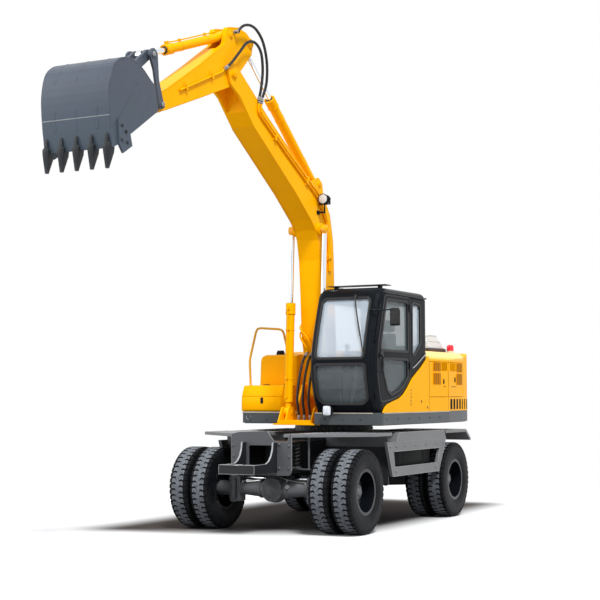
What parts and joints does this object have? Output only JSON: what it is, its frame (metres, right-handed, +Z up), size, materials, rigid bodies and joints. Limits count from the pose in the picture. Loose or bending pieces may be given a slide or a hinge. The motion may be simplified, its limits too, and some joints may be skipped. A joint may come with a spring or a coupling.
{
  "type": "wheeled excavator",
  "caption": "Wheeled excavator on twin tyres with a steered front axle, revolving house, glazed cab, one-piece boom, arm and toothed bucket, all on joints.",
  "frame": {"origin": "on the ground, under the middle of the whole machine's box at rest", "axes": "+X towards the front and the bucket, +Y to the cab's side, +Z up"},
  "size_m": [7.97, 2.742, 6.087],
  "materials": {
    "body_yellow": "satin",
    "chassis_grey": "satin",
    "dark_paint": "satin",
    "skirt_grey": "satin",
    "attachment_grey": "satin",
    "cast_steel": "matt",
    "tyre_rubber": "matt",
    "rim_black": "satin",
    "rod_chrome": "polished",
    "clear_glass": "clear",
    "seat_fabric": "woven",
    "control_plastic": "matt",
    "bright_steel": "brushed",
    "red_plastic": "gloss",
    "lamp_plastic": "gloss",
    "hose_rubber": "matt"
  },
  "bodies": {
    "undercarriage": {"chassis_frame": "chassis_grey", "front_tray": "chassis_grey", "front_axle": "chassis_grey", "rear_axle": "chassis_grey", "drive_shaft": "cast_steel", "slew_ring": "cast_steel", "step_left": "chassis_grey", "step_right": "chassis_grey", "front_fenders": "chassis_grey", "rear_fenders": "chassis_grey"},
    "knuckle_left": {"knuckle_left": "chassis_grey"},
    "knuckle_right": {"knuckle_right": "chassis_grey"},
    "steer_rod": {"steer_rod": "rod_chrome"},
    "wheel_front_left": {"tyres_front_left": "tyre_rubber", "rims_front_left": "rim_black"},
    "wheel_front_right": {"tyres_front_right": "tyre_rubber", "rims_front_right": "rim_black"},
    "wheel_rear_left": {"tyres_rear_left": "tyre_rubber", "rims_rear_left": "rim_black"},
    "wheel_rear_right": {"tyres_rear_right": "tyre_rubber", "rims_rear_right": "rim_black"},
    "house": {"deck": "body_yellow", "skirt": "skirt_grey", "counterweight": "body_yellow", "hood": "body_yellow", "side_panel": "body_yellow", "engine_block": "cast_steel", "fuel_tank": "body_yellow", "tool_box": "body_yellow", "handrail": "body_yellow", "intake_guard": "bright_steel", "beacon": "red_plastic", "cab_shell": "dark_paint", "cab_glass": "clear_glass", "seat": "seat_fabric", "controls": "control_plastic", "side_mirror": "dark_paint", "cab_lamp": "lamp_plastic", "foot_hoses": "hose_rubber"},
    "cab_door": {"cab_door": "dark_paint", "door_glass": "clear_glass"},
    "hood_door_front": {"hood_door_front": "body_yellow"},
    "hood_door_rear": {"hood_door_rear": "body_yellow"},
    "hood_door_right": {"hood_door_right": "body_yellow"},
    "boom": {"boom": "body_yellow", "boom_pipes": "body_yellow", "boom_lamp": "lamp_plastic", "arm_hoses": "hose_rubber"},
    "boom_barrels": {"boom_barrels": "body_yellow"},
    "boom_rods": {"boom_rods": "rod_chrome"},
    "arm_barrel": {"arm_barrel": "body_yellow"},
    "arm_rod": {"arm_rod": "rod_chrome"},
    "arm": {"arm": "body_yellow", "arm_pipes": "body_yellow"},
    "bucket_barrel": {"bucket_barrel": "body_yellow"},
    "bucket_rod": {"bucket_rod": "rod_chrome"},
    "guide_links": {"guide_links": "attachment_grey"},
    "bucket": {"bucket": "attachment_grey"},
    "bucket_link": {"bucket_link": "attachment_grey"}
  },
  "joints": [
    {"name": "slew", "type": "hinge", "parent": "undercarriage", "child": "house", "pos_m": [-1.815, -0.119, 1.24], "axis": [0, 0, 1], "continuous": true},
    {"name": "steer_left", "type": "hinge", "parent": "undercarriage", "child": "knuckle_left", "pos_m": [-0.185, 0.481, 0.509], "axis": [0, 0, 1], "range_deg": [-28, 28]},
    {"name": "steer_right", "type": "hinge", "parent": "undercarriage", "child": "knuckle_right", "pos_m": [-0.185, -0.719, 0.509], "axis": [0, 0, 1], "range_deg": [-28.5, 28.5]},
    {"name": "steer_rod_slide", "type": "slide", "parent": "undercarriage", "child": "steer_rod", "axis": [0, 1, 0], "range_m": [-0.1, 0.1]},
    {"name": "spin_front_left", "type": "hinge", "parent": "knuckle_left", "child": "wheel_front_left", "pos_m": [-0.185, 0.853, 0.509], "axis": [0, 1, 0], "continuous": true},
    {"name": "spin_front_right", "type": "hinge", "parent": "knuckle_right", "child": "wheel_front_right", "pos_m": [-0.185, -1.091, 0.509], "axis": [0, 1, 0], "continuous": true},
    {"name": "spin_rear_left", "type": "hinge", "parent": "undercarriage", "child": "wheel_rear_left", "pos_m": [-3.085, 0.853, 0.509], "axis": [0, 1, 0], "continuous": true},
    {"name": "spin_rear_right", "type": "hinge", "parent": "undercarriage", "child": "wheel_rear_right", "pos_m": [-3.085, -1.091, 0.509], "axis": [0, 1, 0], "continuous": true},
    {"name": "door_cab", "type": "hinge", "parent": "house", "child": "cab_door", "pos_m": [-1.645, 1.095, 1.9], "axis": [0, 0, 1], "range_deg": [0, 150]},
    {"name": "door_hood_front", "type": "hinge", "parent": "house", "child": "hood_door_front", "pos_m": [-2.891, 1.101, 1.88], "axis": [0, 0, 1], "range_deg": [0, 100]},
    {"name": "door_hood_rear", "type": "hinge", "parent": "house", "child": "hood_door_rear", "pos_m": [-3.589, 1.0506, 1.88], "axis": [0, 0, 1], "range_deg": [0, 100]},
    {"name": "door_hood_right", "type": "hinge", "parent": "house", "child": "hood_door_right", "pos_m": [-3.129, -1.30445, 1.88], "axis": [0, 0, -1], "range_deg": [0, 100]},
    {"name": "boom_lift", "type": "hinge", "parent": "house", "child": "boom", "pos_m": [-1.475, -0.119, 1.72], "axis": [0, -1, 0], "range_deg": [-65, 3], "deforming": ["foot_hoses"]},
    {"name": "boom_barrel_turn", "type": "hinge", "parent": "house", "child": "boom_barrels", "pos_m": [-0.955, -0.119, 1.45], "axis": [0, -1, 0], "range_deg": [-64.49, 3.45]},
    {"name": "boom_rod_slide", "type": "slide", "parent": "boom_barrels", "child": "boom_rods", "axis": [-0.0524, 0, 0.9986], "range_m": [-0.6365, 0.0332]},
    {"name": "arm_crowd", "type": "hinge", "parent": "boom", "child": "arm", "pos_m": [1.125, -0.119, 5.43], "axis": [0, 1, 0], "range_deg": [-30, 78], "deforming": ["arm_hoses"]},
    {"name": "arm_barrel_turn", "type": "hinge", "parent": "boom", "child": "arm_barrel", "pos_m": [-1.215, -0.119, 4.446], "axis": [0, 1, 0], "range_deg": [-1.85, 4.01]},
    {"name": "arm_rod_slide", "type": "slide", "parent": "arm_barrel", "child": "arm_rod", "axis": [0.7926, 0, 0.6098], "range_m": [-0.2975, 0.7671]},
    {"name": "bucket_curl", "type": "hinge", "parent": "arm", "child": "bucket", "pos_m": [2.995, -0.119, 4.67], "axis": [0, 1, 0], "range_deg": [-40, 100]},
    {"name": "guide_turn", "type": "hinge", "parent": "arm", "child": "guide_links", "pos_m": [2.653, -0.119, 4.788], "axis": [0, 1, 0], "range_deg": [-27.52, 68.05]},
    {"name": "link_turn", "type": "hinge", "parent": "bucket", "child": "bucket_link", "pos_m": [3.207, -0.119, 5.009], "axis": [0, -1, 0], "range_deg": [-27.26, 67.4]},
    {"name": "bucket_barrel_turn", "type": "hinge", "parent": "arm", "child": "bucket_barrel", "pos_m": [1.135, -0.119, 5.9], "axis": [0, 1, 0], "range_deg": [-1.6, 3.25]},
    {"name": "bucket_rod_slide", "type": "slide", "parent": "bucket_barrel", "child": "bucket_rod", "axis": [0.9424, 0, -0.3346], "range_m": [-0.228, 0.564]}
  ],
  "couplings": [
    {"joint": "steer_right", "follows": "steer_left", "ratio": 1},
    {"joint": "steer_rod_slide", "follows": "steer_left", "m_per_rad": -0.185},
    {"joint": "boom_barrel_turn", "follows": "boom_lift", "ratio": 0.9845},
    {"joint": "boom_rod_slide", "follows": "boom_lift", "m_per_rad": 0.55749},
    {"joint": "arm_barrel_turn", "follows": "arm_crowd", "ratio": 0.045},
    {"joint": "arm_rod_slide", "follows": "arm_crowd", "m_per_rad": 0.56055},
    {"joint": "guide_turn", "follows": "bucket_curl", "ratio": 0.6755},
    {"joint": "link_turn", "follows": "bucket_curl", "ratio": 0.669},
    {"joint": "bucket_barrel_turn", "follows": "bucket_curl", "ratio": 0.0275},
    {"joint": "bucket_rod_slide", "follows": "bucket_curl", "m_per_rad": 0.32083}
  ]
}
